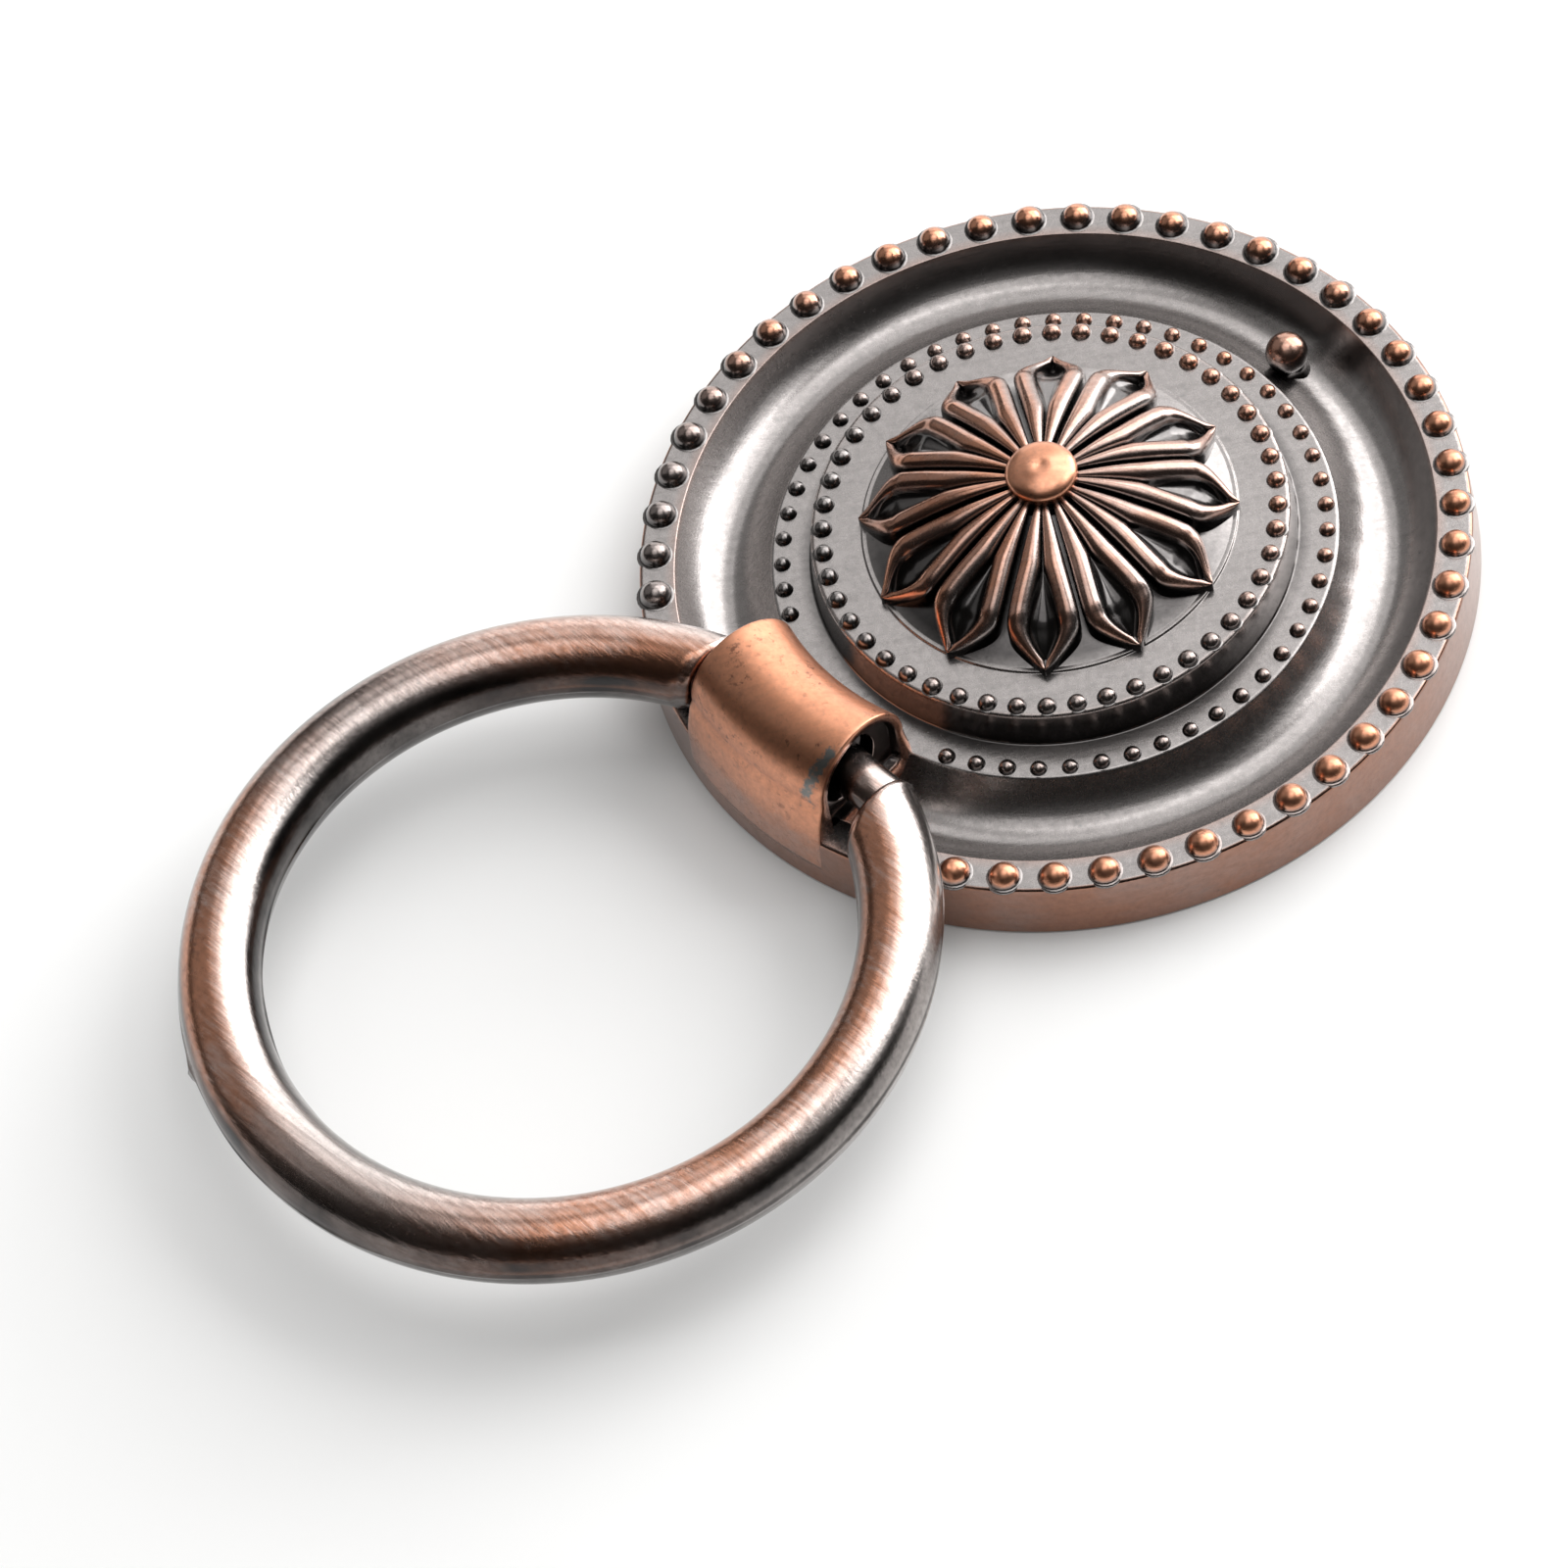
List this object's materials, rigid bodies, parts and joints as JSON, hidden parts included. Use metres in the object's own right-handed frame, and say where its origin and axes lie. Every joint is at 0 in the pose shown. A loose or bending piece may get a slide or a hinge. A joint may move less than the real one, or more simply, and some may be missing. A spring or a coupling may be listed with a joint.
{
  "type": "ring pull",
  "caption": "Antique copper ring pull for a drawer or cabinet door: a round beaded backplate with a rosette and a knuckle at its edge that holds a loose swinging ring.",
  "frame": {"origin": "centre of the backplate's back face, at the mouth of the screw hole", "axes": "+Z out of the front of the plate, +Y from the plate's centre to the knuckle, along the ring at rest"},
  "size_m": [0.0428, 0.0747, 0.01],
  "materials": {
    "plate_finish": "antique copper, dark in the recesses",
    "ring_finish": "antique copper, brushed"
  },
  "bodies": {
    "plate": {"backplate": "plate_finish"},
    "ring": {"ring": "ring_finish"}
  },
  "joints": [
    {"name": "ring_swing", "type": "hinge", "parent": "plate", "child": "ring", "pos_m": [0, 0.0174, 0.00582], "axis": [1, 0, 0], "range_deg": [0, 179.7]}
  ]
}
